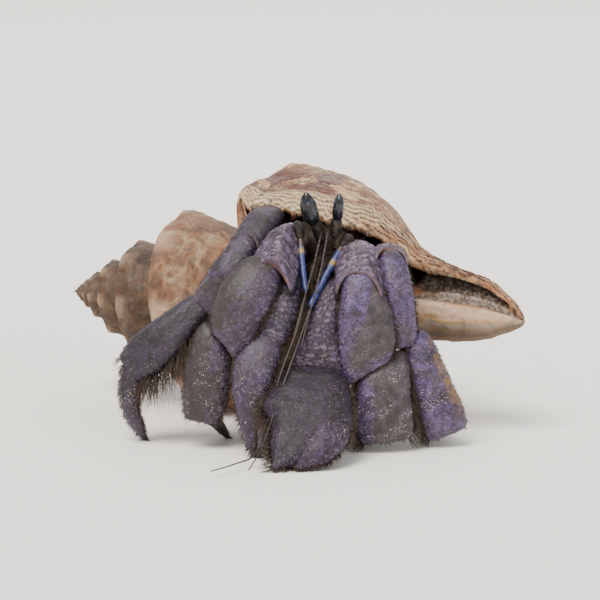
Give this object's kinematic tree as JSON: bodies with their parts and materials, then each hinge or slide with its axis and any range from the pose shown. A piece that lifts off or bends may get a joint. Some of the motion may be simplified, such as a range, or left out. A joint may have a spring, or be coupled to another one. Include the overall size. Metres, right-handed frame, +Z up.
{
  "type": "hermit crab in a sea snail shell",
  "caption": "Purple land hermit crab on its feet, leaning out of the mouth of a knobbed spindle-shaped sea snail shell, a still life-size model.",
  "frame": {"origin": "on the floor under the middle of the model's box", "axes": "+Z up, the crab's face looks along -Y, the shell's canal points to +X and its spire to -X"},
  "size_m": [0.0927, 0.0874, 0.0508],
  "materials": {
    "shell": "worn matt limy shell, brown and tan with a cream lip",
    "armour": "purple-grey limy armour, satin, pebbled and speckled with pale sand",
    "soft_body": "moist brown-red skin",
    "cornea": "glossy dark grey",
    "eyestalk": "dark brown, satin",
    "antenna": "blue, satin, with a yellow band near the base",
    "feeler": "brown, satin"
  },
  "bodies": {
    "root": {"abdomen_front": "soft_body", "abdomen_middle": "soft_body", "abdomen_rear": "soft_body", "abdomen_tip": "soft_body", "antenna_base_left": "feeler", "antenna_base_right": "feeler", "antenna_stalk_left": "antenna", "antenna_stalk_right": "antenna", "antenna_whip_left": "feeler", "antenna_whip_right": "feeler", "antennule_left": "feeler", "antennule_right": "feeler", "carapace": "soft_body", "claw_left_carpus": "armour", "claw_left_finger": "armour", "claw_left_fixed_finger": "armour", "claw_left_merus": "armour", "claw_left_palm": "armour", "claw_right_carpus": "armour", "claw_right_finger": "armour", "claw_right_fixed_finger": "armour", "claw_right_merus": "armour", "claw_right_palm": "armour", "cornea_left": "cornea", "cornea_right": "cornea", "eyestalk_left": "eyestalk", "eyestalk_right": "eyestalk", "leg2_left_carpus": "armour", "leg2_left_dactyl": "armour", "leg2_left_merus": "armour", "leg2_left_propodus": "armour", "leg2_right_carpus": "armour", "leg2_right_dactyl": "armour", "leg2_right_merus": "armour", "leg2_right_propodus": "armour", "leg3_left_carpus": "armour", "leg3_left_dactyl": "armour", "leg3_left_merus": "armour", "leg3_left_propodus": "armour", "leg3_right_carpus": "armour", "leg3_right_dactyl": "armour", "leg3_right_merus": "armour", "leg3_right_propodus": "armour", "leg4_left": "soft_body", "leg4_right": "soft_body", "leg5_left": "soft_body", "leg5_right": "soft_body", "maxilliped_left": "feeler", "maxilliped_right": "feeler", "shell": "shell"}
  },
  "joints": []
}
